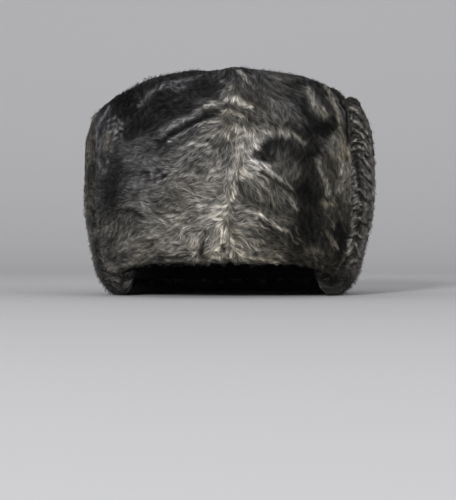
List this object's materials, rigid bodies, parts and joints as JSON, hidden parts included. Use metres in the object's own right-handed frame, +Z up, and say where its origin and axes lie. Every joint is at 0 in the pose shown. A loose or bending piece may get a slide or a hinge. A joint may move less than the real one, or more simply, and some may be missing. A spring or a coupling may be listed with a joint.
{
  "type": "karakul hat",
  "caption": "Hollow domed fur hat with a tall turned-up front flap and a padded ear and neck flap turned up round the sides and back.",
  "frame": {"origin": "on the surface that the hat rests on, under the middle of its length and width", "axes": "+Z up, -Y to the hat's front, +X to the wearer's left"},
  "size_m": [0.2321, 0.2612, 0.178],
  "materials": {
    "crown_fur": "short dark grey karakul fur, lying flat in waves",
    "front_flap_fur": "short grey, black and cream karakul fur, lying flat in curls and waves",
    "ear_flap_fur": "short grey karakul fur in close ripples"
  },
  "bodies": {
    "root": {"crown": "crown_fur", "front_flap": "front_flap_fur", "ear_and_neck_flap": "ear_flap_fur"}
  },
  "joints": []
}
